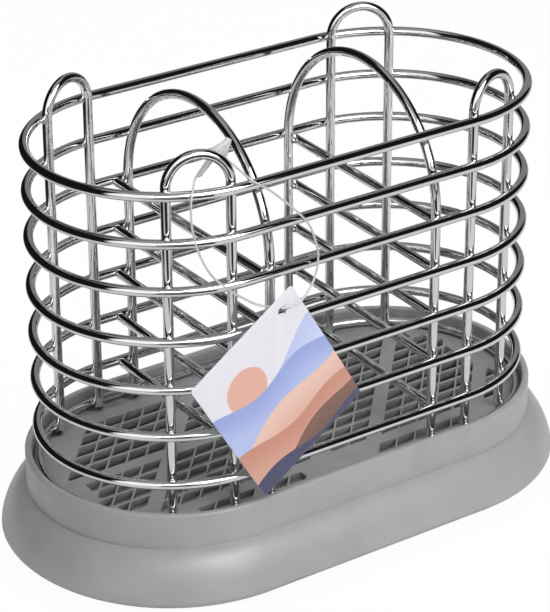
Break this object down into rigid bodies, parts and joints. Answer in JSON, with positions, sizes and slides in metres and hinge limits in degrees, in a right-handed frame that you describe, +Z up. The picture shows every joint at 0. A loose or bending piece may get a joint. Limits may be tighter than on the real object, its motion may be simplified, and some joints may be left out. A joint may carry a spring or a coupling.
{
  "type": "cutlery drainer",
  "caption": "Wire cutlery drainer with dividers on a lift-out grate in an oval drip tray, with a hang tag",
  "frame": {"origin": "on the surface that the tray stands on, under the middle of the part", "axes": "+X along the tray's length, the front with the hang tag at -Y, +Z up"},
  "size_m": [0.2298, 0.1304, 0.1748],
  "materials": {
    "base_tray": "matte moulded grey",
    "grate": "matte moulded dark grey",
    "ring_1": "bright chrome plate",
    "ring_2": "bright chrome plate",
    "ring_3": "bright chrome plate",
    "ring_4": "bright chrome plate",
    "ring_5": "bright chrome plate",
    "ring_6": "bright chrome plate",
    "ring_7": "bright chrome plate",
    "ring_8": "bright chrome plate",
    "hairpin_back_left": "bright chrome plate",
    "hairpin_front_left": "bright chrome plate",
    "hairpin_back_right": "bright chrome plate",
    "hairpin_front_right": "bright chrome plate",
    "divider_arch_left": "bright chrome plate",
    "divider_arch_right": "bright chrome plate",
    "cross_wire_left_1": "bright chrome plate",
    "cross_wire_left_2": "bright chrome plate",
    "cross_wire_left_3": "bright chrome plate",
    "cross_wire_left_4": "bright chrome plate",
    "cross_wire_left_5": "bright chrome plate",
    "cross_wire_right_1": "bright chrome plate",
    "cross_wire_right_2": "bright chrome plate",
    "cross_wire_right_3": "bright chrome plate",
    "cross_wire_right_4": "bright chrome plate",
    "cross_wire_right_5": "bright chrome plate",
    "tag_card": "printed card, satin",
    "tag_loop": "clear nylon",
    "tag_toggle": "translucent nylon"
  },
  "bodies": {
    "tray": {"base_tray": "base_tray"},
    "grate": {"grate": "grate"},
    "basket": {"ring_1": "ring_1", "ring_2": "ring_2", "ring_3": "ring_3", "ring_4": "ring_4", "ring_5": "ring_5", "ring_6": "ring_6", "ring_7": "ring_7", "ring_8": "ring_8", "hairpin_back_left": "hairpin_back_left", "hairpin_front_left": "hairpin_front_left", "hairpin_back_right": "hairpin_back_right", "hairpin_front_right": "hairpin_front_right", "divider_arch_left": "divider_arch_left", "divider_arch_right": "divider_arch_right", "cross_wire_left_1": "cross_wire_left_1", "cross_wire_left_2": "cross_wire_left_2", "cross_wire_left_3": "cross_wire_left_3", "cross_wire_left_4": "cross_wire_left_4", "cross_wire_left_5": "cross_wire_left_5", "cross_wire_right_1": "cross_wire_right_1", "cross_wire_right_2": "cross_wire_right_2", "cross_wire_right_3": "cross_wire_right_3", "cross_wire_right_4": "cross_wire_right_4", "cross_wire_right_5": "cross_wire_right_5"},
    "tag": {"tag_card": "tag_card", "tag_loop": "tag_loop", "tag_toggle": "tag_toggle"}
  },
  "joints": [
    {"name": "grate_lift", "type": "slide", "parent": "tray", "child": "grate", "axis": [0, 0, 1], "range_m": [0, 0.06]},
    {"name": "basket_lift", "type": "slide", "parent": "grate", "child": "basket", "axis": [0, 0, 1], "range_m": [0, 0.06]},
    {"name": "tag_swing", "type": "hinge", "parent": "basket", "child": "tag", "pos_m": [-0.04947, -0.0503, 0.1605], "axis": [-1, 0, 0], "range_deg": [0, 25]}
  ]
}
